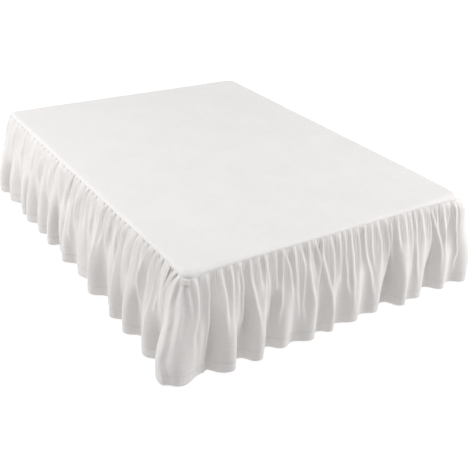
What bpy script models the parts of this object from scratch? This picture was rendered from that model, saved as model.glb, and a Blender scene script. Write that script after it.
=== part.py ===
"""A gathered bed skirt lying on a plain queen bed base: box spring and six legs.

The deck panel lies flat on the box spring and turns down over its edges. The ruffle
is gathered onto the deck's lower edge along the left side, the foot and the right
side, and hangs in folds to just above the floor. The head end is open.

Metres, +Z up, origin on the floor under the middle of the whole object. +Y points to
the head of the bed, the foot end is at -Y, and the left side, seen from the foot, at -X.
"""

import math

import bmesh
import bpy
from mathutils import Vector

# ---- Driving dimensions -----------------------------------------------------------
DECK_WIDTH = 1.525
DECK_LENGTH = 2.033
DECK_TOP = 0.468
DECK_CORNER = 0.045
DECK_EDGE = 0.014
SHEET = 0.0022
PART_GAP = 0.0003
EDGE_CLEARANCE = 0.002

# How far the deck's edge turns down: (distance from the nearest foot corner, drop).
RIM_DROPS = ((0.0, 0.031), (0.05, 0.027), (0.13, 0.020), (0.24, 0.0165))
HEAD_WRAP = 40.0

# The ruffle. A level is a share of its drop: 0 at the seam and 1 at the hem.
SEAM_GAP = 0.0004
WIDTH_GAP = 0.0008
HEM_HEIGHT = 0.006
# The hem rises as the cloth swings out, by this times the reach squared, in metres, and
# hangs lower where the seam does.
HEM_LIFT = 1.1
FREE_EDGE = (0.0, 0.060, 0.006)
# Each fold's place on the seam lies this far from straight above its place at the hem
# to where evenly gathered cloth would put it.
SEAM_SHARE = 0.5
# The cloth spreads sideways from the one to the other as the level to this power.
SIDEWAYS_POWER = 0.8
# The small gathers: the cloth in each and its depth, how unevenly they are spaced and
# how much their depths differ, the level they form over, where they end and their fade.
GATHER_CLOTH = 0.066
GATHER_DEPTH = 0.0085
GATHER_SKEW = 0.055
GATHER_DEPTH_RANGE = 0.35
GATHER_FORMED, GATHER_END, GATHER_FADE = 0.03, 0.8, 1.5
# The knees: the level of each bulge above a valley, and how sharply it rises and falls.
KNEE_LEVEL, KNEE_SHARPNESS = 0.28, 3
FOLD_START, FOLD_FULL = 0.10, 0.80
# How rounded the flare is, from 1, straight down to the hem, upwards: along both
# sides, and at the two foot corners, within this distance of each.
FLARE, LEFT_CORNER_FLARE, RIGHT_CORNER_FLARE, CORNER_SPREAD = 2.4, 1.9, 3.6, 0.11
COLUMNS_PER_GATHER = 4
ROW_LEVELS = (0.0, 0.035, 0.13, 0.28, 0.55, 1.0)
# How finely a fold's curved section is worked out, and its steepest slope, radians.
BEND_STEPS, STEEPEST_BEND = 32, 1.5

CORNER_STEPS, EDGE_STEPS = 5, 3
# Extra points on the deck's outline, along its sides and across its head end.
SIDE_STATIONS, HEAD_STATIONS = (-0.2, 0.3), (0.3, -0.3)

SPRING_HEIGHT = 0.24
SPRING_EDGE = 0.022
SPRING_EDGE_STEPS = 3
LEG_RADIUS = 0.030
LEG_INSET = 0.082
LEG_SIDES = 24

# The ruffle reaches past the foot end only, so the bed lies this far towards +Y.
CENTRE_Y = 0.044

# ---- Values worked out from them --------------------------------------------------
RIM_HALF_WIDTH = DECK_WIDTH / 2
RIM_HALF_LENGTH = DECK_LENGTH / 2
SPRING_TOP = DECK_TOP - SHEET - PART_GAP
SPRING_INSET = SHEET + EDGE_CLEARANCE
LEG_TOP = SPRING_TOP - SPRING_HEIGHT - PART_GAP
SEAM_CORNER = DECK_CORNER - SHEET / 2
CORNER_X = RIM_HALF_WIDTH - DECK_CORNER
CORNER_Y = RIM_HALF_LENGTH - DECK_CORNER
CORNER_ARC = SEAM_CORNER * math.pi / 2
LEFT_START = SEAM_CORNER * math.radians(HEAD_WRAP)
LEFT_CORNER_START = LEFT_START + 2 * CORNER_Y
FOOT_START = LEFT_CORNER_START + CORNER_ARC
RIGHT_CORNER_START = FOOT_START + 2 * CORNER_X
RIGHT_START = RIGHT_CORNER_START + CORNER_ARC
RIGHT_END = RIGHT_START + 2 * CORNER_Y
SEAM_LENGTH = RIGHT_END + LEFT_START
# Each stretch of the seam: where it starts, its corner centre's sides, the direction
# it faces at its start and how far it turns, degrees.
SEAM_STRETCHES = (
    # start, centre_x, centre_y, facing, turn
    (0.0, -CORNER_X, CORNER_Y, 180 - HEAD_WRAP, HEAD_WRAP),
    (LEFT_START, -CORNER_X, CORNER_Y, 180, 0),
    (LEFT_CORNER_START, -CORNER_X, -CORNER_Y, 180, 90),
    (FOOT_START, -CORNER_X, -CORNER_Y, 270, 0),
    (RIGHT_CORNER_START, CORNER_X, -CORNER_Y, 270, 90),
    (RIGHT_START, CORNER_X, -CORNER_Y, 0, 0),
    (RIGHT_END, CORNER_X, CORNER_Y, 0, HEAD_WRAP),
)

# ---- Fold tables: one row for each hem fold, and the valley that follows it ---------
# crest: where the fold's ridge meets the hem, metres along its side
# reach: how far the ridge stands out from the deck's edge at the hem
# valley, tuck: the same for the valley after it
# knee: how far the cloth above that valley bulges, a quarter of the way down

# Left side, measured from the head end.
LEFT_FOLDS = (
    # crest, reach, valley, tuck, knee
    (0.067, 0.110, 0.135, 0.035, 0.010),
    (0.207, 0.100, 0.300, 0.040, 0.014),
    (0.407, 0.099, 0.450, 0.050, 0.008),
    (0.500, 0.107, 0.575, 0.043, 0.016),
    (0.647, 0.096, 0.715, 0.040, 0.012),
    (0.797, 0.100, 0.838, 0.034, 0.010),
    (0.890, 0.070, 0.930, 0.045, 0.014),
    (0.992, 0.100, 1.055, 0.043, 0.012),
    (1.145, 0.078, 1.240, 0.044, 0.015),
    (1.325, 0.105, 1.400, 0.030, 0.010),
    (1.455, 0.062, 1.492, 0.040, 0.016),
    (1.548, 0.100, 1.610, 0.048, 0.010),
    (1.683, 0.100, 1.748, 0.038, 0.018),
    (1.865, 0.095, 1.940, 0.032, 0.012),
)

# Foot end, measured from the left edge of the deck.
FOOT_FOLDS = (
    # crest, reach, valley, tuck, knee
    (0.168, 0.110, 0.233, 0.040, 0.018),
    (0.304, 0.111, 0.378, 0.032, 0.012),
    (0.447, 0.085, 0.500, 0.064, 0.009),
    (0.580, 0.105, 0.645, 0.058, 0.016),
    (0.700, 0.096, 0.752, 0.047, 0.008),
    (0.845, 0.086, 0.911, 0.048, 0.014),
    (0.978, 0.075, 1.067, 0.022, 0.020),
    (1.133, 0.103, 1.187, 0.066, 0.010),
    (1.242, 0.085, 1.340, 0.020, 0.022),
    (1.422, 0.078, 1.486, 0.046, 0.010),
)

# Right side, measured from the foot end.
RIGHT_FOLDS = (
    # crest, reach, valley, tuck, knee
    (0.175, 0.095, 0.245, 0.040, 0.014),
    (0.315, 0.105, 0.375, 0.052, 0.009),
    (0.440, 0.088, 0.505, 0.030, 0.018),
    (0.590, 0.108, 0.670, 0.044, 0.012),
    (0.725, 0.082, 0.775, 0.050, 0.010),
    (0.850, 0.098, 0.930, 0.028, 0.018),
    (1.005, 0.104, 1.065, 0.055, 0.010),
    (1.130, 0.090, 1.200, 0.040, 0.015),
    (1.285, 0.102, 1.365, 0.033, 0.012),
    (1.425, 0.080, 1.480, 0.048, 0.016),
    (1.560, 0.106, 1.640, 0.036, 0.010),
    (1.705, 0.092, 1.765, 0.046, 0.016),
    (1.835, 0.100, 1.900, 0.040, 0.010),
)

# The two corner folds: the turn round the corner where the ridge lies, degrees, its
# reach, and then the valley that follows, along the next side from its corner.
CORNER_FOLDS = {
    # crest_turn, reach, valley, tuck, knee
    "left": (29.0, 0.134, 0.061, 0.042, 0.020),
    "right": (46.0, 0.120, 0.100, 0.040, 0.014),
}
HEAD_END_FOLD = (1.965, 0.095)

# The widths of cloth that the ruffle is joined from. Each ends in a fold's flank near
# this share of the whole seam.
RUFFLE_WIDTHS = (
    ("ruffle_left_head", 0.0),
    ("ruffle_left_middle", 0.145),
    ("ruffle_left_corner", 0.288),
    ("ruffle_foot", 0.428),
    ("ruffle_right_corner", 0.572),
    ("ruffle_right_middle", 0.712),
    ("ruffle_right_head", 0.855),
)


# ---- Small helpers ----------------------------------------------------------------
def blend(a, b, t):
    return a + (b - a) * t


def clear_scene():
    for obj in list(bpy.data.objects):
        bpy.data.objects.remove(obj, do_unlink=True)


def make_material(name, colour, roughness, metallic=0.0):
    material = bpy.data.materials.new(name)
    material.use_nodes = True
    shader = material.node_tree.nodes["Principled BSDF"]
    shader.inputs["Base Color"].default_value = (*colour, 1.0)
    shader.inputs["Roughness"].default_value = roughness
    shader.inputs["Metallic"].default_value = metallic
    return material


def add_object(name, mesh, collection, material):
    obj = bpy.data.objects.new(name, mesh)
    collection.objects.link(obj)
    mesh.materials.append(material)
    return obj


def mesh_from(bm, name):
    mesh = bpy.data.meshes.new(name)
    bm.to_mesh(mesh)
    bm.free()
    return mesh


# ---- The seam line ----------------------------------------------------------------
def seam_point(along, out):
    """Plan position and outward direction, `out` beyond the seam line."""
    stretch = [row for row in SEAM_STRETCHES if row[0] <= max(along, 0.0)][-1]
    start, centre_x, centre_y, facing, turn = stretch
    past = along - start
    angle = math.radians(facing) + (past / SEAM_CORNER if turn else 0.0)
    normal = Vector((math.cos(angle), math.sin(angle)))
    base = Vector((centre_x, centre_y + CENTRE_Y)) + normal * (SEAM_CORNER + out)
    if not turn:
        base += Vector((-normal.y, normal.x)) * past
    return base, normal


def rim_drop(x, y):
    """How far the deck's lower edge lies below its top at this plan point."""
    to_corner = y - CENTRE_Y + CORNER_Y
    if to_corner <= 0:
        to_corner = max(CORNER_X - abs(x), 0.0)
    for (near, near_drop), (far, far_drop) in zip(RIM_DROPS, RIM_DROPS[1:]):
        if to_corner < far:
            return blend(near_drop, far_drop, (to_corner - near) / (far - near))
    return RIM_DROPS[-1][1]


# ---- The folds --------------------------------------------------------------------
def wave_shares(bend):
    """Running run and rise of a strip whose slope swings from 0 to `bend` and back."""
    run, rise = [0.0], [0.0]
    for i in range(BEND_STEPS):
        slope = bend * math.sin(math.pi * (i + 0.5) / BEND_STEPS)
        run.append(run[-1] + math.cos(slope) / BEND_STEPS)
        rise.append(rise[-1] + math.sin(slope) / BEND_STEPS)
    return run, rise


def bend_for(steepness):
    """The greatest slope, radians, of a half fold with this rise over run."""
    low, high = 0.0, STEEPEST_BEND
    while high - low > 1e-7:
        middle = (low + high) / 2
        run, rise = wave_shares(middle)
        if rise[-1] / run[-1] < steepness:
            low = middle
        else:
            high = middle
    return low


def half_fold(bend, t):
    """Share of the run and of the rise at t of the way along the cloth, 0 to 1."""
    run, rise = wave_shares(bend)
    place = min(t, 1.0) * (len(run) - 1)
    i = min(int(place), len(run) - 2)
    part = place - i
    return (
        blend(run[i], run[i + 1], part) / run[-1],
        blend(rise[i], rise[i + 1], part) / rise[-1],
    )


def hem_lines():
    """(along, reach, knee) of each valley and (along, reach) of each crest, in order."""
    crests, valleys = [], [FREE_EDGE]
    left_zero = LEFT_START - DECK_CORNER
    for crest, reach, valley, tuck, knee in LEFT_FOLDS:
        crests.append((left_zero + crest, reach))
        valleys.append((left_zero + valley, tuck, knee))
    turn, reach, valley, tuck, knee = CORNER_FOLDS["left"]
    crests.append((LEFT_CORNER_START + math.radians(turn) * SEAM_CORNER, reach))
    foot_zero = FOOT_START - DECK_CORNER
    valleys.append((foot_zero + valley, tuck, knee))
    for crest, reach, valley, tuck, knee in FOOT_FOLDS:
        crests.append((foot_zero + crest, reach))
        valleys.append((foot_zero + valley, tuck, knee))
    turn, reach, valley, tuck, knee = CORNER_FOLDS["right"]
    crests.append((RIGHT_CORNER_START + math.radians(turn) * SEAM_CORNER, reach))
    right_zero = RIGHT_START - DECK_CORNER
    valleys.append((right_zero + valley, tuck, knee))
    for crest, reach, valley, tuck, knee in RIGHT_FOLDS:
        crests.append((right_zero + crest, reach))
        valleys.append((right_zero + valley, tuck, knee))
    crests.append((right_zero + HEAD_END_FOLD[0], HEAD_END_FOLD[1]))
    valleys.append((SEAM_LENGTH, *FREE_EDGE[1:]))
    return crests, valleys


def side_bend(valley, crest):
    """The bend of the cloth between a valley and a crest, from their places at the hem."""
    middle = (valley[1] + crest[1]) / 2
    start = seam_point(valley[0], middle)[0]
    end = seam_point(crest[0], middle)[0]
    run = (end - start).length
    return bend_for((crest[1] - valley[1]) / run), run


def make_folds():
    """Each hem fold, from valley to valley, with its stretch of the gathered seam."""
    crests, valleys = hem_lines()
    folds, cloth = [], 0.0
    for crest, before, after in zip(crests, valleys, valleys[1:]):
        bend_before, run_before = side_bend(before, crest)
        bend_after, run_after = side_bend(after, crest)
        fold = {
            "before": before,
            "crest": crest,
            "after": after,
            "bends": (bend_before, bend_after),
            "mean": (before[1] + 2 * crest[1] + after[1]) / 4,
            "cloth": cloth,
        }
        cloth += run_before / wave_shares(bend_before)[0][-1]
        cloth += run_after / wave_shares(bend_after)[0][-1]
        folds.append(fold)
    lengths = [fold["cloth"] for fold in folds] + [cloth]
    ends = []
    for valley, length in zip(valleys, lengths):
        ends.append(blend(valley[0], length / cloth * SEAM_LENGTH, SEAM_SHARE))
    means = [folds[0]["mean"]] + [fold["mean"] for fold in folds] + [folds[-1]["mean"]]
    for i, fold in enumerate(folds):
        fold["seam"] = (ends[i], ends[i + 1])
        fold["gathers"] = max(2, round((lengths[i + 1] - lengths[i]) / GATHER_CLOTH))
        fold["skew"] = GATHER_SKEW * math.sin(2.4 * i)
        fold["gather_depth"] = GATHER_DEPTH * (1 + GATHER_DEPTH_RANGE * math.sin(1.7 * i))
        fold["mean_ends"] = (
            (means[i] + fold["mean"]) / 2,
            (fold["mean"] + means[i + 2]) / 2,
        )
    return folds


def hem_shape(fold, u):
    """Place along the seam and reach at the hem, u across the fold from 0 to 1."""
    if u <= 0.5:
        line, bend, t = fold["before"], fold["bends"][0], 2 * u
    else:
        line, bend, t = fold["after"], fold["bends"][1], 2 * (1 - u)
    run, rise = half_fold(bend, t)
    crest = fold["crest"]
    return blend(line[0], crest[0], run), blend(line[1], crest[1], rise)


def gather_strength(level):
    """Depth of the small gathers: none at the seam, most just below it, none at the hem."""
    formed = 1 - math.exp(-level / GATHER_FORMED)
    return formed * max(0.0, 1 - level / GATHER_END) ** GATHER_FADE


def knee_strength(level):
    share = level / KNEE_LEVEL
    return (share * math.exp(1 - share)) ** KNEE_SHARPNESS


def fold_strength(level):
    """How far the hem's folds have formed: not at all by the seam, wholly near the hem."""
    share = min(max((level - FOLD_START) / (FOLD_FULL - FOLD_START), 0.0), 1.0)
    return share * share * (3 - 2 * share)


def flare(along, level):
    """Share of the reach that the cloth has gained at this level."""
    power = FLARE
    for corner, corner_flare in (
        (LEFT_CORNER_START + CORNER_ARC / 2, LEFT_CORNER_FLARE),
        (RIGHT_CORNER_START + CORNER_ARC / 2, RIGHT_CORNER_FLARE),
    ):
        near = math.exp(-(((along - corner) / CORNER_SPREAD) ** 2))
        power = blend(power, corner_flare, near)
    return 1 - (1 - level) ** power


def seam_place(fold, u):
    """Where on the seam the cloth at u is sewn, its gathers unevenly spaced."""
    return blend(*fold["seam"], u + fold["skew"] * math.sin(2 * math.pi * u))


def ruffle_point(fold, u, level):
    """A point of the ruffle's middle surface, level 0 at the seam and 1 at the hem."""
    hem_along, hem_reach = hem_shape(fold, u)
    seam_along = seam_place(fold, u)
    along = blend(seam_along, hem_along, level**SIDEWAYS_POWER)
    near, knee = (0, fold["before"][2]) if u <= 0.5 else (1, fold["after"][2])
    middle = blend(fold["mean_ends"][near], fold["mean"], 1 - abs(2 * u - 1))
    out = flare(seam_along, level) * blend(middle, hem_reach, fold_strength(level))
    wave = math.cos(2 * math.pi * fold["gathers"] * u)
    out += fold["gather_depth"] * gather_strength(level) * wave
    to_valley = abs(u - near) * 2 * fold["gathers"]
    if to_valley < 1:
        out += knee * knee_strength(level) * (1 + math.cos(math.pi * to_valley)) / 2
    plan, normal = seam_point(along, max(out, 0.0))
    drop = rim_drop(*seam_point(seam_along, 0.0)[0])
    hem = HEM_HEIGHT + max(HEM_LIFT * hem_reach**2 - (drop - RIM_DROPS[-1][1]), 0.0)
    top = DECK_TOP - drop - SEAM_GAP
    return Vector((plan.x, plan.y, blend(top, hem, level))), normal


def ruffle_columns(folds):
    """The whole ruffle as columns of points, and where on the seam each one starts."""
    columns, starts = [], []
    for i, fold in enumerate(folds):
        count = fold["gathers"] * COLUMNS_PER_GATHER
        last = count + 1 if i == len(folds) - 1 else count
        for j in range(last):
            u = j / count
            columns.append([ruffle_point(fold, u, level) for level in ROW_LEVELS])
            starts.append(seam_place(fold, u))
    return columns, starts


def surface_normals(columns):
    """Unit normals of the column grid, level along the seam so that its edge is flat."""
    points = [[point for point, _ in column] for column in columns]
    last_column, last_row = len(points) - 1, len(ROW_LEVELS) - 1
    normals = []
    for i, column in enumerate(points):
        line = []
        for j in range(last_row + 1):
            across = points[min(i + 1, last_column)][j] - points[max(i - 1, 0)][j]
            down = column[min(j + 1, last_row)] - column[max(j - 1, 0)]
            normal = down.cross(across).normalized()
            plan = columns[i][j][1]
            if j == 0:
                normal = Vector((plan.x, plan.y, 0.0))
            elif j == last_row:
                normal.z = 0.0
                normal.normalize()
            line.append(normal)
        normals.append(line)
    return normals


def sheet_solid(name, points, normals):
    """One closed sheet: a grid of points thickened both ways along its normals."""
    bm = bmesh.new()
    half = SHEET / 2
    faces = []
    for side in (1, -1):
        faces.append(
            [
                [bm.verts.new(p + n * half * side) for p, n in zip(line, normal_line)]
                for line, normal_line in zip(points, normals)
            ]
        )
    front, back = faces
    columns, rows = len(points), len(points[0])
    for i in range(columns - 1):
        for j in range(rows - 1):
            corners = ((i, j), (i, j + 1), (i + 1, j + 1), (i + 1, j))
            # The diagonals lean left and right by turns, so neither lean shows.
            halves = ((0, 1, 2), (0, 2, 3)) if i % 2 else ((0, 1, 3), (1, 2, 3))
            for triangle in halves:
                outer = [front[corners[k][0]][corners[k][1]] for k in triangle]
                inner = [back[corners[k][0]][corners[k][1]] for k in triangle]
                bm.faces.new(outer)
                bm.faces.new(inner[::-1])
    around = [(i, 0) for i in range(columns)]
    around += [(columns - 1, j) for j in range(1, rows)]
    around += [(i, rows - 1) for i in range(columns - 2, -1, -1)]
    around += [(0, j) for j in range(rows - 2, 0, -1)]
    for here, there in zip(around, around[1:] + around[:1]):
        corners = [front[here[0]][here[1]], front[there[0]][there[1]]]
        corners += [back[there[0]][there[1]], back[here[0]][here[1]]]
        # Facing ends of two widths are cut along the same diagonals, so they can't cross.
        halves = ((0, 1, 2), (0, 2, 3)) if here < there else ((0, 1, 3), (1, 2, 3))
        for half_face in halves:
            bm.faces.new([corners[k] for k in half_face])
    bmesh.ops.recalc_face_normals(bm, faces=bm.faces)
    return mesh_from(bm, name)


def make_ruffle(collection, material):
    columns, starts = ruffle_columns(make_folds())
    normals = surface_normals(columns)
    cuts = []
    for _, share in RUFFLE_WIDTHS:
        wanted = share * SEAM_LENGTH
        cuts.append(min(range(len(starts)), key=lambda i: abs(starts[i] - wanted)))
    cuts.append(len(columns) - 1)
    for (name, _), first, last in zip(RUFFLE_WIDTHS, cuts, cuts[1:]):
        points = [[point.copy() for point, _ in columns[i]] for i in range(first, last + 1)]
        for line, inner, joined in ((0, 1, first > 0), (-1, -2, last < len(columns) - 1)):
            if joined:
                for point, towards in zip(points[line], points[inner]):
                    step = (towards - point).normalized()
                    point += step * WIDTH_GAP / 2
        mesh = sheet_solid(name, points, normals[first : last + 1])
        mesh.shade_smooth()
        add_object(name, mesh, collection, material)


# ---- The deck panel ---------------------------------------------------------------
def deck_stations():
    """(corner centre offset, facing) of each point round the deck, counter-clockwise."""
    from_foot = [distance for distance, _ in RIM_DROPS[1:]]
    foot = [-CORNER_X + d for d in from_foot] + [0.0] + [CORNER_X - d for d in from_foot[::-1]]
    side = [-CORNER_Y + d for d in from_foot] + list(SIDE_STATIONS)
    stations = []
    for centre_x, centre_y, facing in (
        (-CORNER_X, CORNER_Y, 90),
        (-CORNER_X, -CORNER_Y, 180),
        (CORNER_X, -CORNER_Y, 270),
        (CORNER_X, CORNER_Y, 0),
    ):
        for step in range(CORNER_STEPS + 1):
            turn = facing + 90 * step / CORNER_STEPS
            stations.append((centre_x, centre_y, turn))
        if facing == 90:
            stations += [(-CORNER_X, y, 180) for y in side[::-1]]
        elif facing == 180:
            stations += [(x, -CORNER_Y, 270) for x in foot]
        elif facing == 270:
            stations += [(CORNER_X, y, 0) for y in side]
        else:
            stations += [(x, CORNER_Y, 90) for x in HEAD_STATIONS]
    return stations


def deck_ring(stations, inset, drop=None):
    """The deck's outline `inset` within its edge, at one depth or at its lower edge."""
    ring = []
    for centre_x, centre_y, turn in stations:
        radius = DECK_CORNER - inset
        x = centre_x + radius * math.cos(math.radians(turn))
        y = centre_y + radius * math.sin(math.radians(turn)) + CENTRE_Y
        ring.append((x, y, DECK_TOP - (rim_drop(x, y) if drop is None else drop)))
    return ring


def make_deck(collection, material):
    """The flat panel, its edge rolled over the box spring and turned down to the seam."""
    stations = deck_stations()
    rings = [deck_ring(stations, 0.0)]
    for step in range(EDGE_STEPS + 1):
        angle = math.pi / 2 * step / EDGE_STEPS
        inset = DECK_EDGE * (1 - math.cos(angle))
        rings.append(deck_ring(stations, inset, DECK_EDGE * (1 - math.sin(angle))))
    bm = bmesh.new()
    loops = [[bm.verts.new(point) for point in ring] for ring in rings]
    for lower, upper in zip(loops, loops[1:]):
        pairs = zip(lower, lower[1:] + lower[:1], upper[1:] + upper[:1], upper)
        for corners in pairs:
            bm.faces.new(corners)
    bm.faces.new(loops[-1])
    bmesh.ops.recalc_face_normals(bm, faces=bm.faces)
    mesh = mesh_from(bm, "deck_panel")
    deck = add_object("deck_panel", mesh, collection, material)
    thickness = deck.modifiers.new("cloth thickness", "SOLIDIFY")
    thickness.thickness = SHEET
    thickness.offset = -1.0
    thickness.use_even_offset = True


# ---- The bed base -----------------------------------------------------------------
def make_box_spring(collection, material):
    bm = bmesh.new()
    bmesh.ops.create_cube(bm, size=1.0)
    size = (
        DECK_WIDTH - 2 * SPRING_INSET,
        DECK_LENGTH - 2 * SPRING_INSET,
        SPRING_HEIGHT,
    )
    bmesh.ops.scale(bm, vec=size, verts=bm.verts)
    upright = [e for e in bm.edges if abs(e.verts[0].co.z - e.verts[1].co.z) > 0.1]
    bmesh.ops.bevel(
        bm,
        geom=upright,
        offset=DECK_CORNER - SPRING_INSET,
        offset_type="OFFSET",
        segments=CORNER_STEPS,
        profile=0.5,
        affect="EDGES",
    )
    mesh = mesh_from(bm, "box_spring")
    spring = add_object("box_spring", mesh, collection, material)
    spring.location = (0.0, CENTRE_Y, SPRING_TOP - SPRING_HEIGHT / 2)
    rounding = spring.modifiers.new("padded edges", "BEVEL")
    rounding.width = SPRING_EDGE
    rounding.segments = SPRING_EDGE_STEPS
    rounding.limit_method = "ANGLE"
    rounding.angle_limit = math.radians(60)


def make_legs(collection, material):
    reach_x = RIM_HALF_WIDTH - LEG_INSET
    reach_y = RIM_HALF_LENGTH - LEG_INSET
    for row, y in (("head", reach_y), ("middle", 0.0), ("foot", -reach_y)):
        for side, x in (("left", -reach_x), ("right", reach_x)):
            name = f"leg_{side}_{row}"
            bm = bmesh.new()
            bmesh.ops.create_cone(
                bm,
                cap_ends=True,
                segments=LEG_SIDES,
                radius1=LEG_RADIUS,
                radius2=LEG_RADIUS,
                depth=LEG_TOP,
            )
            mesh = mesh_from(bm, name)
            mesh.shade_smooth()
            mesh.set_sharp_from_angle(angle=math.radians(40))
            leg = add_object(name, mesh, collection, material)
            leg.location = (x, y + CENTRE_Y, LEG_TOP / 2)


def main():
    clear_scene()
    collection = bpy.data.collections.new("bed_skirt_on_bed_base")
    bpy.context.scene.collection.children.link(collection)
    linen = make_material("off_white_linen", (0.83, 0.82, 0.80), 0.9)
    ticking = make_material("plain_ticking", (0.62, 0.61, 0.58), 0.9)
    wood = make_material("dark_wood", (0.09, 0.06, 0.04), 0.5)
    make_deck(collection, linen)
    make_ruffle(collection, linen)
    make_box_spring(collection, ticking)
    make_legs(collection, wood)


main()
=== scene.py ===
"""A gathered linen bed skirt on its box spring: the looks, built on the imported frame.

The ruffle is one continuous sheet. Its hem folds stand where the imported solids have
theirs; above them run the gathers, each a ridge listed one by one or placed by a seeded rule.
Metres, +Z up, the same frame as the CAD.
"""

import math

import bpy
import numpy as np
from mathutils import Matrix, Vector

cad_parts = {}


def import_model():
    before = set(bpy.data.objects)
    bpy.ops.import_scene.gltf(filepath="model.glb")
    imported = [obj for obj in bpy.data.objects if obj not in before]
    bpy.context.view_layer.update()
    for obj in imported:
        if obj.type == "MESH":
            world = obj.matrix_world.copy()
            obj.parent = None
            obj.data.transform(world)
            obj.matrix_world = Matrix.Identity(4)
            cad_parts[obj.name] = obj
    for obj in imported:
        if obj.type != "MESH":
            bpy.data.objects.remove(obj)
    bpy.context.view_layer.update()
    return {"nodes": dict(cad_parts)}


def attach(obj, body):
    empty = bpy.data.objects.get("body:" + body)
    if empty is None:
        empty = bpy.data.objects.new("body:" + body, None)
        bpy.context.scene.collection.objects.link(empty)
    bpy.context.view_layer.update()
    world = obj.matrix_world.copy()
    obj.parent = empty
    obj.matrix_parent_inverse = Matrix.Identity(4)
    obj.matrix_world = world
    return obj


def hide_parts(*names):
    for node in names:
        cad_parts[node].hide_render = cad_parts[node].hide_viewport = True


# ---- Sizes shared with the CAD ----
DECK_WIDTH, DECK_LENGTH, DECK_TOP = 1.525, 2.033, 0.468
DECK_CORNER, SHEET = 0.045, 0.0022
# Distance along the edge from a foot corner, and how far the deck is turned down there.
RIM_DROPS = ((0.0, 0.031), (0.05, 0.027), (0.13, 0.020), (0.24, 0.0165))
HEAD_WRAP = 40.0
CENTRE_Y = 0.044
HEM_HEIGHT, HEM_LIFT = 0.006, 1.1
FREE_EDGE = (0.0, 0.060, 0.006)
SEAM_SHARE, SIDEWAYS_POWER = 0.5, 0.8
KNEE_LEVEL, KNEE_SHARPNESS, KNEE_CLOTH = 0.28, 3, 0.045
KNEELESS_STRETCH, KNEELESS_FADE = (0.02, 1.51), 0.04
FOLD_START, FOLD_FULL = 0.10, 0.80
FLARE, LEFT_CORNER_FLARE, RIGHT_CORNER_FLARE, CORNER_SPREAD = 2.4, 1.9, 3.6, 0.11
BEND_STEPS, STEEPEST_BEND, BEND_ERROR = 32, 1.5, 1e-7

SEAM_CORNER = DECK_CORNER - SHEET / 2
CORNER_X = DECK_WIDTH / 2 - DECK_CORNER
CORNER_Y = DECK_LENGTH / 2 - DECK_CORNER
CORNER_ARC = SEAM_CORNER * math.pi / 2
LEFT_START = SEAM_CORNER * math.radians(HEAD_WRAP)
LEFT_CORNER_START = LEFT_START + 2 * CORNER_Y
FOOT_START = LEFT_CORNER_START + CORNER_ARC
RIGHT_CORNER_START = FOOT_START + 2 * CORNER_X
RIGHT_START = RIGHT_CORNER_START + CORNER_ARC
RIGHT_END = RIGHT_START + 2 * CORNER_Y
SEAM_LENGTH = RIGHT_END + LEFT_START
LEFT_ZERO = LEFT_START - DECK_CORNER
FOOT_ZERO = FOOT_START - DECK_CORNER
RIGHT_ZERO = RIGHT_START - DECK_CORNER
SEAM_STRETCHES = (
    # start, centre_x, centre_y, facing, turn
    (0.0, -CORNER_X, CORNER_Y, 180 - HEAD_WRAP, HEAD_WRAP),
    (LEFT_START, -CORNER_X, CORNER_Y, 180, 0),
    (LEFT_CORNER_START, -CORNER_X, -CORNER_Y, 180, 90),
    (FOOT_START, -CORNER_X, -CORNER_Y, 270, 0),
    (RIGHT_CORNER_START, CORNER_X, -CORNER_Y, 270, 90),
    (RIGHT_START, CORNER_X, -CORNER_Y, 0, 0),
    (RIGHT_END, CORNER_X, CORNER_Y, 0, HEAD_WRAP),
)

# Hem folds: crest and valley along the side, how far each stands out at the hem, and the
# knee, how far the valley's cloth bulges higher up. The foot end's stretch shows none.
LEFT_FOLDS = (
    # crest, reach, valley, tuck, knee
    (0.067, 0.110, 0.135, 0.035, 0.010),
    (0.207, 0.100, 0.300, 0.040, 0.014),
    (0.407, 0.099, 0.450, 0.050, 0.008),
    (0.500, 0.107, 0.575, 0.043, 0.016),
    (0.647, 0.096, 0.715, 0.040, 0.012),
    (0.797, 0.100, 0.838, 0.034, 0.010),
    (0.890, 0.070, 0.930, 0.045, 0.014),
    (0.992, 0.100, 1.055, 0.043, 0.012),
    (1.145, 0.078, 1.240, 0.044, 0.015),
    (1.325, 0.105, 1.400, 0.030, 0.010),
    (1.455, 0.062, 1.492, 0.040, 0.016),
    (1.548, 0.100, 1.610, 0.048, 0.010),
    (1.683, 0.100, 1.748, 0.038, 0.018),
    (1.865, 0.095, 1.940, 0.032, 0.012),
)
FOOT_FOLDS = (
    # crest, reach, valley, tuck, knee
    (0.168, 0.110, 0.233, 0.040, 0.018),
    (0.304, 0.111, 0.378, 0.032, 0.012),
    (0.447, 0.085, 0.500, 0.064, 0.009),
    (0.580, 0.105, 0.645, 0.058, 0.016),
    (0.700, 0.096, 0.752, 0.047, 0.008),
    (0.845, 0.086, 0.911, 0.048, 0.014),
    (0.978, 0.075, 1.067, 0.022, 0.020),
    (1.133, 0.103, 1.187, 0.066, 0.010),
    (1.242, 0.085, 1.340, 0.020, 0.022),
    (1.422, 0.078, 1.486, 0.046, 0.010),
)
RIGHT_FOLDS = (
    # crest, reach, valley, tuck, knee
    (0.175, 0.095, 0.245, 0.040, 0.014),
    (0.315, 0.105, 0.375, 0.052, 0.009),
    (0.440, 0.088, 0.505, 0.030, 0.018),
    (0.590, 0.108, 0.670, 0.044, 0.012),
    (0.725, 0.082, 0.775, 0.050, 0.010),
    (0.850, 0.098, 0.930, 0.028, 0.018),
    (1.005, 0.104, 1.065, 0.055, 0.010),
    (1.130, 0.090, 1.200, 0.040, 0.015),
    (1.285, 0.102, 1.365, 0.033, 0.012),
    (1.425, 0.080, 1.480, 0.048, 0.016),
    (1.560, 0.106, 1.640, 0.036, 0.010),
    (1.705, 0.092, 1.765, 0.046, 0.016),
    (1.835, 0.100, 1.900, 0.040, 0.010),
)
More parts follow.
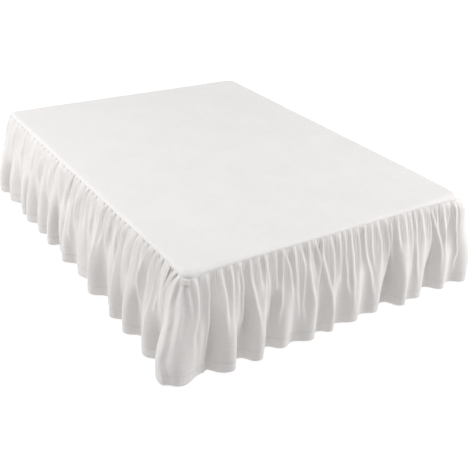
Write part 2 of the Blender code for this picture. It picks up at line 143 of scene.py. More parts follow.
CORNER_FOLDS = {
    # crest_turn, reach, valley, tuck, knee
    "left": (29.0, 0.134, 0.061, 0.042, 0.020),
    "right": (46.0, 0.120, 0.100, 0.040, 0.014),
}
HEAD_END_FOLD = (1.965, 0.095)

# Creases placed one by one from the photo: where each runs along its side at five levels of
# the drop, the ridge on one flank and the groove on the other (height and width of each),
# and the levels it starts and dies away at. On the left side the ridge lies towards the
# foot end, and on the foot end towards the left side. The fifth row of FOOT_CREASES has
# four numbers left from a fitting program: its seam, ridge, groove and end.
CREASE_LEVELS = (0.0, 0.25, 0.5, 0.75, 1.0)
LEFT_CREASES = (
    # seam, quarter, half, low, hem, ridge, ridge width, groove, groove width, start, end
    (0.055, 0.050, 0.045, 0.040, 0.040, 0.012, 0.011, 0.012, 0.018, 0.00, 0.75),
    (0.120, 0.115, 0.110, 0.105, 0.100, 0.011, 0.012, 0.014, 0.018, 0.00, 0.65),
    (0.190, 0.185, 0.185, 0.180, 0.180, 0.014, 0.011, 0.016, 0.016, 0.00, 0.45),
    (0.240, 0.240, 0.235, 0.230, 0.225, 0.011, 0.010, 0.017, 0.018, 0.00, 0.70),
    (0.290, 0.285, 0.280, 0.280, 0.285, 0.009, 0.012, 0.010, 0.016, 0.00, 0.40),
    (0.335, 0.335, 0.330, 0.330, 0.335, 0.010, 0.012, 0.018, 0.013, 0.00, 0.85),
    (0.375, 0.380, 0.380, 0.380, 0.385, 0.013, 0.010, 0.014, 0.016, 0.00, 0.50),
    (0.435, 0.440, 0.435, 0.430, 0.435, 0.012, 0.010, 0.019, 0.018, 0.00, 0.45),
    (0.490, 0.495, 0.500, 0.505, 0.510, 0.010, 0.013, 0.012, 0.016, 0.00, 0.80),
    (0.545, 0.550, 0.555, 0.560, 0.560, 0.015, 0.011, 0.020, 0.018, 0.00, 0.90),
    (0.585, 0.585, 0.590, 0.595, 0.595, 0.012, 0.011, 0.013, 0.014, 0.00, 0.55),
    (0.640, 0.645, 0.650, 0.650, 0.650, 0.014, 0.012, 0.017, 0.018, 0.00, 0.70),
    (0.700, 0.700, 0.705, 0.710, 0.715, 0.011, 0.012, 0.014, 0.018, 0.00, 0.85),
    (0.745, 0.750, 0.755, 0.755, 0.760, 0.015, 0.010, 0.018, 0.015, 0.00, 0.50),
    (0.780, 0.785, 0.785, 0.790, 0.795, 0.010, 0.010, 0.014, 0.014, 0.00, 0.75),
    (0.850, 0.855, 0.860, 0.870, 0.880, 0.015, 0.013, 0.020, 0.020, 0.00, 0.95),
    (0.900, 0.905, 0.905, 0.910, 0.915, 0.011, 0.011, 0.012, 0.016, 0.00, 0.45),
    (0.945, 0.945, 0.940, 0.940, 0.945, 0.014, 0.011, 0.018, 0.016, 0.00, 0.80),
    (0.975, 0.980, 0.980, 0.985, 0.990, 0.009, 0.009, 0.014, 0.013, 0.00, 0.35),
    (1.010, 1.015, 1.020, 1.030, 1.035, 0.014, 0.011, 0.017, 0.016, 0.00, 0.90),
    (1.050, 1.055, 1.060, 1.065, 1.070, 0.012, 0.011, 0.016, 0.016, 0.00, 0.55),
    (1.120, 1.120, 1.125, 1.130, 1.130, 0.016, 0.012, 0.021, 0.020, 0.00, 0.85),
    (1.155, 1.160, 1.160, 1.165, 1.170, 0.010, 0.011, 0.013, 0.014, 0.00, 0.45),
    (1.200, 1.200, 1.205, 1.210, 1.215, 0.013, 0.011, 0.018, 0.016, 0.00, 0.90),
    (1.240, 1.245, 1.250, 1.255, 1.260, 0.014, 0.011, 0.016, 0.016, 0.00, 0.60),
    (1.320, 1.315, 1.315, 1.320, 1.325, 0.018, 0.012, 0.014, 0.018, 0.00, 0.95),
    (1.355, 1.350, 1.345, 1.345, 1.350, 0.012, 0.011, 0.012, 0.014, 0.00, 0.50),
    (1.400, 1.400, 1.400, 1.400, 1.400, 0.015, 0.011, 0.021, 0.018, 0.00, 0.70),
    (1.440, 1.445, 1.445, 1.450, 1.450, 0.013, 0.010, 0.018, 0.015, 0.00, 0.45),
    (1.485, 1.490, 1.500, 1.505, 1.510, 0.013, 0.011, 0.018, 0.016, 0.00, 0.80),
    (1.530, 1.530, 1.535, 1.540, 1.545, 0.016, 0.011, 0.015, 0.016, 0.00, 0.95),
    (1.575, 1.580, 1.585, 1.590, 1.595, 0.014, 0.011, 0.019, 0.018, 0.00, 0.75),
    (1.650, 1.650, 1.655, 1.660, 1.665, 0.015, 0.012, 0.019, 0.020, 0.00, 0.70),
    (1.705, 1.710, 1.710, 1.715, 1.720, 0.013, 0.011, 0.019, 0.016, 0.00, 0.50),
    (1.750, 1.745, 1.740, 1.740, 1.745, 0.016, 0.012, 0.014, 0.018, 0.00, 0.90),
    (1.800, 1.800, 1.795, 1.795, 1.800, 0.014, 0.011, 0.020, 0.018, 0.00, 0.75),
    (1.840, 1.845, 1.845, 1.850, 1.855, 0.015, 0.012, 0.022, 0.018, 0.00, 0.90),
    (1.875, 1.880, 1.885, 1.890, 1.895, 0.010, 0.010, 0.012, 0.014, 0.00, 0.60),
    (1.930, 1.935, 1.955, 1.970, 1.970, 0.008, 0.013, 0.010, 0.017, 0.00, 0.40),
)
FOOT_CREASES = (
    # seam, quarter, half, low, hem, ridge, ridge width, groove, groove width, start, end
    (-0.012, -0.018, -0.008, -0.006, -0.003, 0.013, 0.022, 0.012, 0.020, 0.00, 1.50),
    (0.008, 0.009, 0.010, 0.006, 0.004, 0.011, 0.012, 0.009, 0.018, 0.00, 0.72),
    (0.021, 0.026, 0.031, 0.034, 0.036, 0.009, 0.010, 0.006, 0.012, 0.00, 0.42),
    (0.050, 0.047, 0.036, 0.031, 0.030, 0.012, 0.015, 0.012, 0.016, 0.00, 0.95),
    (0.107, 0.099, 0.090, 0.082, 0.079, 0.017, 0.020, 0.027, 0.024, 0.00, 1.34),
    (0.165, 0.168, 0.160, 0.158, 0.158, 0.010, 0.016, 0.015, 0.020, 0.00, 0.68),
    (0.209, 0.204, 0.190, 0.181, 0.176, 0.013, 0.014, 0.012, 0.018, 0.00, 0.74),
    (0.240, 0.236, 0.231, 0.228, 0.226, 0.005, 0.014, 0.011, 0.018, 0.05, 0.62),
    (0.255, 0.263, 0.257, 0.248, 0.245, 0.015, 0.014, 0.027, 0.032, 0.00, 0.95),
    (0.300, 0.303, 0.310, 0.312, 0.312, 0.011, 0.014, 0.007, 0.024, 0.00, 0.80),
    (0.342, 0.340, 0.328, 0.320, 0.318, 0.008, 0.012, 0.019, 0.018, 0.00, 0.36),
    (0.372, 0.363, 0.343, 0.328, 0.318, 0.011, 0.010, 0.006, 0.016, 0.00, 0.68),
    (0.382, 0.381, 0.390, 0.397, 0.400, 0.011, 0.012, 0.015, 0.022, 0.00, 0.85),
    (0.429, 0.427, 0.420, 0.415, 0.412, 0.008, 0.012, 0.021, 0.016, 0.00, 0.42),
    (0.470, 0.452, 0.437, 0.424, 0.414, 0.015, 0.011, 0.017, 0.022, 0.00, 0.92),
    (0.478, 0.495, 0.490, 0.488, 0.486, 0.011, 0.013, 0.021, 0.020, 0.00, 0.55),
    (0.520, 0.518, 0.521, 0.528, 0.536, 0.011, 0.014, 0.007, 0.024, 0.00, 0.92),
    (0.553, 0.566, 0.552, 0.546, 0.543, 0.011, 0.013, 0.021, 0.026, 0.00, 0.92),
    (0.597, 0.596, 0.598, 0.600, 0.602, 0.011, 0.014, 0.009, 0.018, 0.00, 0.80),
    (0.613, 0.614, 0.612, 0.610, 0.608, 0.002, 0.010, 0.011, 0.014, 0.08, 0.42),
    (0.634, 0.653, 0.618, 0.608, 0.605, 0.016, 0.014, 0.028, 0.028, 0.00, 0.72),
    (0.672, 0.670, 0.688, 0.702, 0.704, 0.013, 0.014, 0.006, 0.018, 0.00, 0.95),
    (0.715, 0.721, 0.711, 0.710, 0.710, 0.010, 0.012, 0.018, 0.018, 0.00, 0.95),
    (0.762, 0.764, 0.762, 0.760, 0.756, 0.014, 0.028, 0.013, 0.020, 0.00, 0.60),
    (0.793, 0.794, 0.797, 0.812, 0.826, 0.014, 0.011, 0.012, 0.020, 0.00, 0.80),
    (0.829, 0.828, 0.829, 0.835, 0.846, 0.013, 0.012, 0.009, 0.018, 0.00, 0.92),
    (0.868, 0.873, 0.870, 0.862, 0.858, 0.015, 0.014, 0.027, 0.034, 0.02, 0.56),
    (0.908, 0.913, 0.943, 0.960, 0.981, 0.015, 0.015, 0.005, 0.020, 0.00, 0.95),
    (0.947, 0.952, 0.963, 0.970, 0.975, 0.008, 0.010, 0.006, 0.014, 0.00, 0.55),
    (0.985, 1.004, 0.996, 0.990, 0.986, 0.013, 0.016, 0.012, 0.022, 0.00, 0.62),
    (1.036, 1.052, 1.055, 1.058, 1.066, 0.017, 0.016, 0.032, 0.030, 0.00, 0.95),
    (1.066, 1.074, 1.090, 1.103, 1.109, 0.014, 0.011, 0.005, 0.018, 0.00, 0.95),
    (1.108, 1.118, 1.116, 1.114, 1.112, 0.006, 0.014, 0.013, 0.018, 0.00, 0.42),
    (1.150, 1.156, 1.150, 1.148, 1.146, 0.007, 0.014, 0.005, 0.016, 0.00, 0.45),
    (1.184, 1.193, 1.188, 1.190, 1.192, 0.011, 0.018, 0.015, 0.022, 0.00, 0.80),
    (1.216, 1.221, 1.226, 1.231, 1.239, 0.011, 0.012, 0.011, 0.020, 0.00, 0.92),
    (1.254, 1.272, 1.280, 1.282, 1.284, 0.010, 0.014, 0.006, 0.018, 0.00, 0.48),
    (1.300, 1.326, 1.332, 1.338, 1.344, 0.016, 0.018, 0.030, 0.036, 0.00, 0.95),
    (1.322, 1.363, 1.392, 1.398, 1.404, 0.015, 0.012, 0.005, 0.018, 0.00, 0.92),
    (1.360, 1.372, 1.378, 1.384, 1.388, 0.005, 0.012, 0.011, 0.014, 0.00, 0.34),
    (1.400, 1.410, 1.416, 1.420, 1.424, 0.010, 0.014, 0.006, 0.016, 0.00, 0.60),
    (1.446, 1.429, 1.425, 1.430, 1.440, 0.011, 0.014, 0.021, 0.032, 0.00, 0.70),
    (1.478, 1.479, 1.488, 1.494, 1.500, 0.014, 0.012, 0.009, 0.020, 0.00, 0.92),
)
CREASE_TURN, CREASE_SOFTENING = 0.0070, 0.0040
CREASE_POWER, CREASE_SPREAD, CREASE_FADE = 1.5, 0.5, 0.55
# The drop in which a crease reaches its full size: on the left side (-1) and elsewhere.
CREASE_RISE = {-1: 0.012, 1: 0.035}
CREASE_SMOOTHING, CREASE_MARGIN = 7, 0.15
# Each crease wanders a little on its way down, by its own phase.
CREASE_WANDER, CREASE_PHASE = 0.0018, 37.0
WANDERS = (
    # share, phases, waves in the drop
    (1.0, 1.0, 9.0),
    (0.5, 2.3, 23.0),
)
CORNER_REACH = 0.10
# Slits between the gathers at the seam: the dip, and painted shade in the cloth where the camera
# sees into it.
SLIT_DEPTH, SLIT_WIDTH, SLIT_LENGTHS = 0.014, 0.0042, (0.08, 0.19)
SHADE_PLACE, SHADE_WIDTH = 0.0076, 0.0040
# Two gathers stand open beside the near left corner, each a dip with painted shade in it.
OPEN_GATHERS = (
    # place, lean, width, length
    (1.942, -0.08, 0.0055, 0.07),
    (1.978, -0.16, 0.0040, 0.08),
)
# Hollows that trim the bell of the near left corner towards the hem.
BELL_POWER = 1.5
BELL_TRIMS = (
    # place, width, depth at the hem
    (1.983, 0.020, 0.016),
    (2.042, 0.016, 0.016),
)
SEAM_PUFF, CORNER_PUFF, PUFF_LEVEL, PUFF_SPREAD = 0.006, 0.018, 0.07, 0.07
# Elsewhere the creases follow a rule: cloth for each, and the spread of their sizes.
CREASE_CLOTH, RULE_START = 0.052, 0.04
RIDGES, GROOVES = (0.007, 0.015), (0.006, 0.024)
RIDGE_WIDTHS, GROOVE_WIDTHS = (0.010, 0.018), (0.016, 0.028)
CREASE_ENDS = (0.32, 0.95)
CREASE_JITTER, CREASE_LEAN, CREASE_UNEVEN = 0.32, 0.5, 0.005
SEED = 7

# ---- Camera: the photo's, fitted to the deck's four edges ----
PHOTO_FOCAL, PHOTO_WIDTH, SENSOR = 743, 470, 36
CAMERA_YAW, CAMERA_PITCH, CAMERA_ROLL = 34.66, 28.44, 3.09
CAMERA_PLACE, CAMERA_REACH = (-1.968, -3.033, 1.936), 60.0

# ---- Light: softboxes left and right, a wide overhead, and a little fill ----
SOFTBOXES = (
    # name, place, aimed at, size, watts
    ("left", (-3.2, 0.8, 1.5), (0.0, 0.2, 0.2), 1.6, 42.0),
    ("left_back", (-5.5, 3.5, 2.6), (0.0, 0.3, 0.2), 2.2, 25.0),
    ("right_near", (3.0, -2.6, 1.4), (0.3, -0.9, 0.2), 1.4, 38.0),
    ("right_far", (5.0, -4.6, 2.4), (0.3, -0.9, 0.2), 2.2, 105.0),
)
OVERHEAD, OVERHEAD_SPREAD, OVERHEAD_HEIGHT = 2.90, 45, 4.0
WORLD_FILL, COVE_RISE = 0.05, (0.04, 0.25)
FLOOR, FLOOR_GLOW, FLOOR_HALF = 0.1, 0.92, 30

# ---- Finishes: linens as light and dark, noises as waves a metre along and up ----
RUFFLE_LINEN = (0.722, 0.700, 0.691), (0.698, 0.676, 0.667)
DECK_LINEN = (0.728, 0.713, 0.706), (0.704, 0.689, 0.682)
LINEN_SHEEN, LINEN_SHEEN_ROUGHNESS, LINEN_SPECULAR = 0.12, 0.5, 0.25
LINEN_ROUGHNESS, LINEN_ROUGHNESSES = 0.9, (0.82, 0.97)
WEFT_WAVES, WARP_WAVES, CLOUD_WAVES = (22.0, 480.0, 1.0), (480.0, 22.0, 1.0), (5.0, 5.0, 1.0)
WEFT_SHARE, WARP_SHARE, THREAD_DETAIL = 0.65, 0.35, 3.0
MOTTLE_SPAN, THREAD_SPAN = (0.3, 0.7), (0.36, 0.62)
THREAD_DARK, THREAD_SHADE = (0.93, 0.925, 0.915), (0.52, 0.50, 0.48)
THREAD_PITCH, THREAD_DEPTH, WEAVE_DEPTH = 0.0011, 0.00035, 0.00006
WHITE = (1.0, 1.0, 1.0)
HEM_STEP, HEM_STEP_DEPTH = 0.004, 0.0009
HEM_PUCKERS, HEM_PUCKER_DEPTH = (85.0, 5.0, 1.0), 0.0020
# Stitched rows: the thread's width, the pitch, and the sine above which a dash shows.
HEM_STITCH, TAB_STITCH = (0.0014, 0.0045, -0.35), (0.0008, 0.0050, -0.2)
STITCH_UP, STITCH_DEPTH, STITCH_SHADE = 0.003, 0.0008, 0.55
TAB_STITCH_UP, TAB_STITCH_DEPTH, TAB_STITCH_SHADE = 0.28, 0.0006, 0.7
# Painted shade: the dark the slits between gathers are mixed to. The tab's stitch rows take the
# same dark.
SLIT_SHADE_AND_STITCH_DARK = (0.36, 0.349, 0.342)
PLEATS, PLEAT_DETAIL, PLEAT_DEPTH = (120.0, 7.0, 1.0), 1.0, 0.0058
PLEAT_START, PLEAT_RISE = 0.22, 0.24
CRUMPLE, CRUMPLE_DETAIL, CRUMPLE_DEPTH = (15.0, 9.0, 1.0), 2.5, 0.0035
EDGE_PUCKERS, EDGE_DETAIL, EDGE_PUCKER_DEPTH = (75.0, 75.0, 1.0), 1.5, 0.0035
TICKING, TICKING_STRIPE = ((0.50, 0.49, 0.46), (0.66, 0.65, 0.62)), (0.42, 0.42, 0.43)
STRIPE_PITCH, STRIPE_EDGE, STRIPE_SHARE = 0.024, 0.72, 0.35
NAP, NAP_DETAIL, NAP_DEPTH = (240.0, 240.0, 240.0), 3.0, 0.0004
WOOD = (0.045, 0.028, 0.018), (0.13, 0.085, 0.055)
GRAIN, GRAIN_DETAIL = (90.0, 90.0, 6.0), 4.0
PORES, PORE_DEPTH = (420.0, 420.0, 30.0), 0.0003

# ---- Meshes ----
DECK_STEP, DECK_CORNER_STEPS, DECK_EDGE_STEPS = 0.012, 16, 9
DECK_RINGS = (0.01, 0.03, 0.07, 0.13, 0.2, 0.3, 0.4, 0.5, 0.6, 0.7, 0.8, 0.9, 1.0)
DECK_ROLL, CORNER_ROLL, CORNER_ROLL_SPREAD = 0.030, 0.008, 0.07
DECK_UNEVEN, DECK_SAG, DECK_LEVELLING = 0.0008, 1.6, 6
# Waves in the deck: (across, start, along), and a ripple's (share, along, across).
DECK_WAVE, DECK_RIPPLE = (5.1, 1.3, 3.7), (0.6, 9.3, 4)
EDGE_CLOTH = (0.018, 0.02)
SEAM_SCALLOP, SCALLOP_PACES = 0.0010, (0.0073, 0.031)
SEAM_START, SEAM_OVERLAP = 0.0008, 0.0015
HEM_BAND, HEM_TURN = 0.048, 0.010
TAB_WIDTH, TAB_HEIGHT, TAB_THICKNESS, TAB_TAUT = 0.030, 0.024, 0.0018, 90
TAB_COLUMNS, TAB_ROWS, TAB_SQUARENESS, TAB_BAND = 25, 15, 9, 0.006
COLUMN_CLOTH, FEWEST_COLUMNS = 0.00385, 6
ROWS, ROW_CROWDING = 48, 1.15


# ---- Small helpers ----
def blend(a, b, t):
    """From a at t = 0 to b at t = 1."""
    return a + (b - a) * t


def bell(x):
    """1 at zero, falling away on both sides."""
    return np.exp(-(x**2))


def swell(share):
    """0 at the top, 1 where share is 1, and dying away below."""
    return share * np.exp(1 - share)


def link(name, data):
    """A new object in the scene."""
    thing = bpy.data.objects.new(name, data)
    bpy.context.scene.collection.objects.link(thing)
    return thing


def smoothstep(x):
    """0 up to x = 0, 1 from x = 1 and a soft rise between."""
    x = np.clip(x, 0.0, 1.0)
    return x * x * (3 - 2 * x)


# ---- The seam line and the fold model ----
def seam_plan(along, out):
    """Plan position and outward direction of points `out` beyond the seam line."""
    rows = np.array(SEAM_STRETCHES)
    index = np.clip(np.searchsorted(rows[:, 0], along, side="right") - 1, 0, None)
    start, centre_x, centre_y, facing, turn = (rows[index, k] for k in range(5))
    past = along - start
    bends = turn > 0
    angle = np.radians(facing) + np.where(bends, past / SEAM_CORNER, 0.0)
    nx, ny = np.cos(angle), np.sin(angle)
    straight = np.where(bends, 0.0, past)
    x = centre_x + nx * (SEAM_CORNER + out) - ny * straight
    y = centre_y + CENTRE_Y + ny * (SEAM_CORNER + out) + nx * straight
    return x, y, nx, ny


def rim_drop(x, y):
    """How far the deck's lower edge lies below its top at these plan points."""
    to_corner = y - CENTRE_Y + CORNER_Y
    to_corner = np.where(to_corner <= 0, np.maximum(CORNER_X - np.abs(x), 0.0), to_corner)
    distances, drops = zip(*RIM_DROPS)
    return np.interp(to_corner, distances, drops)


def wave_shares(bend):
    """Run and rise of half a fold whose slope swells to `bend` radians in its middle."""
    slope = bend * np.sin(np.pi * (np.arange(BEND_STEPS) + 0.5) / BEND_STEPS)
    run = np.concatenate([[0.0], np.cumsum(np.cos(slope))]) / BEND_STEPS
    rise = np.concatenate([[0.0], np.cumsum(np.sin(slope))]) / BEND_STEPS
    return run, rise


def bend_for(steepness):
    """The bend of a half fold that rises `steepness` times as far as it runs."""
    low, high = 0.0, STEEPEST_BEND
    while high - low > BEND_ERROR:
        middle = (low + high) / 2
        run, rise = wave_shares(middle)
        if rise[-1] / run[-1] < steepness:
            low = middle
        else:
            high = middle
    return low


def hem_lines():
    """Crests (place, reach) and valleys (place, tuck, knee) along the whole hem."""
    crests, valleys = [], [FREE_EDGE]
    for zero, folds, corner in (
        (LEFT_ZERO, LEFT_FOLDS, None),
        (FOOT_ZERO, FOOT_FOLDS, ("left", LEFT_CORNER_START)),
        (RIGHT_ZERO, RIGHT_FOLDS, ("right", RIGHT_CORNER_START)),
    ):
        if corner:
            turn, reach, valley, tuck, knee = CORNER_FOLDS[corner[0]]
            crests.append((corner[1] + math.radians(turn) * SEAM_CORNER, reach))
            valleys.append((zero + valley, tuck, knee))
        for crest, reach, valley, tuck, knee in folds:
            crests.append((zero + crest, reach))
            valleys.append((zero + valley, tuck, knee))
    crests.append((RIGHT_ZERO + HEAD_END_FOLD[0], HEAD_END_FOLD[1]))
    valleys.append((SEAM_LENGTH, *FREE_EDGE[1:]))
    return crests, valleys


def side_bend(valley, crest):
    """The bend and the run of the half fold between a valley and a crest."""
    middle = (valley[1] + crest[1]) / 2
    ends = seam_plan(np.array([valley[0], crest[0]]), np.array([middle, middle]))
    run = math.hypot(ends[0][1] - ends[0][0], ends[1][1] - ends[1][0])
    return bend_for((crest[1] - valley[1]) / run), run


def make_folds():
    """The folds from the left head end to the right, and the length of cloth in them."""
    crests, valleys = hem_lines()
    folds, cloth = [], 0.0
    for crest, before, after in zip(crests, valleys, valleys[1:]):
        bend_before, run_before = side_bend(before, crest)
        bend_after, run_after = side_bend(after, crest)
        fold = {
            "before": before,
            "crest": crest,
            "after": after,
            "bends": (bend_before, bend_after),
            "mean": (before[1] + 2 * crest[1] + after[1]) / 4,
            "cloth": cloth,
        }
        cloth += run_before / wave_shares(bend_before)[0][-1]
        cloth += run_after / wave_shares(bend_after)[0][-1]
        folds.append(fold)
    lengths = [fold["cloth"] for fold in folds] + [cloth]
    ends = [
        blend(valley[0], length / cloth * SEAM_LENGTH, SEAM_SHARE)
        for valley, length in zip(valleys, lengths)
    ]
    means = [folds[0]["mean"]] + [fold["mean"] for fold in folds] + [folds[-1]["mean"]]
    for i, fold in enumerate(folds):
        fold["seam"] = (ends[i], ends[i + 1])
        fold["length"] = lengths[i + 1] - lengths[i]
        fold["mean_ends"] = ((means[i] + fold["mean"]) / 2, (fold["mean"] + means[i + 2]) / 2)
    return folds, cloth


def fold_columns(folds):
    """One row of values for each column of cloth, from end to end of the ruffle."""
    names = ("seam", "hem", "reach", "middle", "knee", "to_valley", "cloth")
    table = {name: [] for name in names}
    for i, fold in enumerate(folds):
        count = max(FEWEST_COLUMNS, round(fold["length"] / COLUMN_CLOTH))
        u = np.arange(count + (i == len(folds) - 1)) / count
        first = u <= 0.5
        t = np.where(first, 2 * u, 2 * (1 - u))
        along, reach = np.empty_like(u), np.empty_like(u)
        for side, line, bend in ((first, fold["before"], 0), (~first, fold["after"], 1)):
            run, rise = wave_shares(fold["bends"][bend])
            places = np.linspace(0, 1, BEND_STEPS + 1)
            share_run = np.interp(t, places, run / run[-1])
            share_rise = np.interp(t, places, rise / rise[-1])
            along = np.where(side, blend(line[0], fold["crest"][0], share_run), along)
            reach = np.where(side, blend(line[1], fold["crest"][1], share_rise), reach)
        mean_end = np.where(first, *fold["mean_ends"])
        table["seam"].append(blend(*fold["seam"], u))
        table["hem"].append(along)
        table["reach"].append(reach)
        table["middle"].append(blend(mean_end, fold["mean"], 1 - np.abs(2 * u - 1)))
        table["knee"].append(np.where(first, fold["before"][2], fold["after"][2]))
        table["to_valley"].append(np.minimum(u, 1 - u) * fold["length"])
        table["cloth"].append(fold["cloth"] + u * fold["length"])
    return {name: np.concatenate(parts) for name, parts in table.items()}


# ---- The gathers ----
def rule_creases(folds, rng):
    """Creases for the side the photo doesn't show, on each fold's own cloth."""
    creases = []
    for fold in folds:
        start, end = fold["seam"]
        count = max(2, round(fold["length"] / CREASE_CLOTH))
        knots = (fold["before"][0], fold["crest"][0], fold["after"][0])
        for k in range(count):
            u = (k + 0.5 + CREASE_JITTER * rng.uniform(-1, 1)) / count
            seam = blend(start, end, u)
            if seam < RIGHT_START + RULE_START:
                continue
            hem = np.interp(u, (0, 0.5, 1), knots)
            hem = blend(hem, fold["crest"][0], rng.uniform(0.0, CREASE_LEAN))
            places = [
                blend(seam, hem, level**SIDEWAYS_POWER) + rng.uniform(-CREASE_UNEVEN, CREASE_UNEVEN)
                for level in CREASE_LEVELS
            ]
            sizes = (
                rng.uniform(*RIDGES),
                rng.uniform(*RIDGE_WIDTHS),
                rng.uniform(*GROOVES),
                rng.uniform(*GROOVE_WIDTHS),
            )
            creases.append((places, sizes, (0.0, rng.uniform(*CREASE_ENDS)), 1))
    return creases


def true_distance(along, levels):
    """Place along the cloth, with the corners as long as they are out at each level."""
    place = along.copy()
    for start, power in (
        (LEFT_CORNER_START, LEFT_CORNER_FLARE),
        (RIGHT_CORNER_START, RIGHT_CORNER_FLARE),
    ):
        out = CORNER_REACH * (1 - (1 - levels) ** power)
        place += np.clip(along - start, 0, CORNER_ARC) * out / SEAM_CORNER
    return place


def slit(gap, levels, width, length):
    """The narrow gap between two gathers, open at the seam and closing below it."""
    return bell(gap / width) * bell(levels / length)[None, :]


def crease_line(places, phase, levels):
    """Where a crease runs at each level: through its places, smoothed and wandering."""
    line = np.interp(levels, CREASE_LEVELS, places)
    padded = np.pad(line, CREASE_SMOOTHING // 2, mode="edge")
    line = np.convolve(padded, np.ones(CREASE_SMOOTHING) / CREASE_SMOOTHING, "valid")
    for share, phases, waves in WANDERS:
        start = phases * phase
        line = line + CREASE_WANDER * share * (np.sin(start + waves * levels) - np.sin(start))
    return line


def crease_shape(gap, levels, sizes, ends, rise):
    """How far one crease moves the cloth: out on the ridge's flank, in on the groove's."""
    ridge, ridge_width, groove, groove_width = sizes
    start, end = ends
    risen = 1 - np.exp(-np.clip(levels - start, 0, 1) / rise)
    faded = smoothstep((levels - end * CREASE_FADE) / (end * (1 - CREASE_FADE)))
    life = risen * (1 - faded)
    wide = 1 + CREASE_SPREAD * levels
    turn = 0.5 * (1 + np.tanh(gap / (CREASE_TURN + CREASE_SOFTENING * levels)))
    up = ridge * np.exp(-((np.abs(gap) / (ridge_width * wide)) ** CREASE_POWER))
    down = groove * np.exp(-((np.abs(gap) / (groove_width * wide)) ** CREASE_POWER))
    return life[None, :] * ((1 - turn) * up - turn * down)


def crease_relief(along, levels, creases):
    """How far all creases move each point of the cloth, and how much shade is painted into its
    slits.
    """
    relief, shade = np.zeros_like(along), np.zeros_like(along)
    distance = true_distance(along, levels[None, :])
    first, last = along.min(1), along.max(1)
    for places, sizes, ends, side in creases:
        phase = CREASE_PHASE * places[0]
        line = crease_line(places, phase, levels)
        near = (last > line.min() - CREASE_MARGIN) & (first < line.max() + CREASE_MARGIN)
        gap = side * (distance[near] - true_distance(line, levels)[None, :])
        relief[near] += crease_shape(gap, levels, sizes, ends, CREASE_RISE[side])
        if side < 0 or places[0] > RIGHT_START:
            length = blend(*SLIT_LENGTHS, 0.5 + 0.5 * np.sin(5 * phase))
            relief[near] -= SLIT_DEPTH * slit(gap - SLIT_WIDTH, levels, SLIT_WIDTH, length)
            # Painted shade in the slit, set a little aside from its dip.
            shade[near] += slit(gap - SHADE_PLACE, levels, SHADE_WIDTH, length)
    for place, lean, width, length in OPEN_GATHERS:
        line = LEFT_ZERO + place + lean * levels[None, :]
        opened = slit(along - line, levels, width, length)
        relief -= SLIT_DEPTH * opened
        shade += opened
    return relief, np.clip(shade, 0, 1)


def flare(along, levels):
    """Share of the hem's reach at each level; each corner has a roundness of its own."""
    power = np.full_like(along, FLARE)
    for corner, corner_flare in (
        (LEFT_CORNER_START + CORNER_ARC / 2, LEFT_CORNER_FLARE),
        (RIGHT_CORNER_START + CORNER_ARC / 2, RIGHT_CORNER_FLARE),
    ):
        power = blend(power, corner_flare, bell((along - corner) / CORNER_SPREAD))
    return 1 - (1 - levels[None, :]) ** power[:, None]


def all_creases(folds):
    """The listed creases of the left side and foot end, and the rule's elsewhere."""
    creases = rule_creases(folds, np.random.default_rng(SEED))
    for rows, zero, side in ((LEFT_CREASES, LEFT_ZERO, -1), (FOOT_CREASES, FOOT_ZERO, 1)):
        for row in rows:
            creases.append(([zero + place for place in row[:5]], row[5:9], row[9:], side))
    return creases


def fold_reach(columns, along, levels):
    """How far out the cloth stands at each point, before its creases."""
    seam = columns["seam"]
    formed = smoothstep((levels - FOLD_START) / (FOLD_FULL - FOLD_START))[None, :]
    middle, reach = columns["middle"][:, None], columns["reach"][:, None]
    out = flare(seam, levels) * blend(middle, reach, formed)
    close = np.clip(columns["to_valley"] / KNEE_CLOTH, 0, 1)
    knee = columns["knee"] * (1 + np.cos(np.pi * close)) / 2
    start, end = (FOOT_ZERO + place for place in KNEELESS_STRETCH)
    foot = smoothstep(np.minimum(seam - start, end - seam) / KNEELESS_FADE)
    out += (swell(levels / KNEE_LEVEL) ** KNEE_SHARPNESS)[None, :] * (knee * (1 - foot))[:, None]
    at_corner = bell((seam - RIGHT_CORNER_START - CORNER_ARC / 2) / PUFF_SPREAD)
    puff = SEAM_PUFF * (1 - foot) + CORNER_PUFF * at_corner
    out += swell(levels / PUFF_LEVEL)[None, :] * puff[:, None]
    for place, width, depth in BELL_TRIMS:
        out -= depth * bell((along - LEFT_ZERO - place) / width) * levels**BELL_POWER
    return out


def ruffle_grid(folds, creases):
    """The sheet's points, column by column, each column's cloth, the levels and the painted shade
    of the slits.
    """
    columns = fold_columns(folds)
    levels = np.linspace(0, 1, ROWS) ** ROW_CROWDING
    seam, hem = columns["seam"], columns["hem"]
    along = blend(seam[:, None], hem[:, None], levels[None, :] ** SIDEWAYS_POWER)
    out = fold_reach(columns, along, levels)
    relief, shade = crease_relief(along, levels, creases)
    out = np.maximum(out + relief, 0.0) + SEAM_START
    x, y, _, _ = seam_plan(along, out)
    seam_x, seam_y, _, _ = seam_plan(seam, np.zeros_like(seam))
    drop = rim_drop(seam_x, seam_y)
    top = DECK_TOP - drop + SEAM_OVERLAP
    bottom = HEM_HEIGHT + np.maximum(
        HEM_LIFT * columns["reach"] ** 2 - (drop - RIM_DROPS[-1][1]), 0.0
    )
    z = blend(top[:, None], bottom[:, None], levels[None, :])
    return np.stack([x, y, z], -1), columns["cloth"], levels, shade


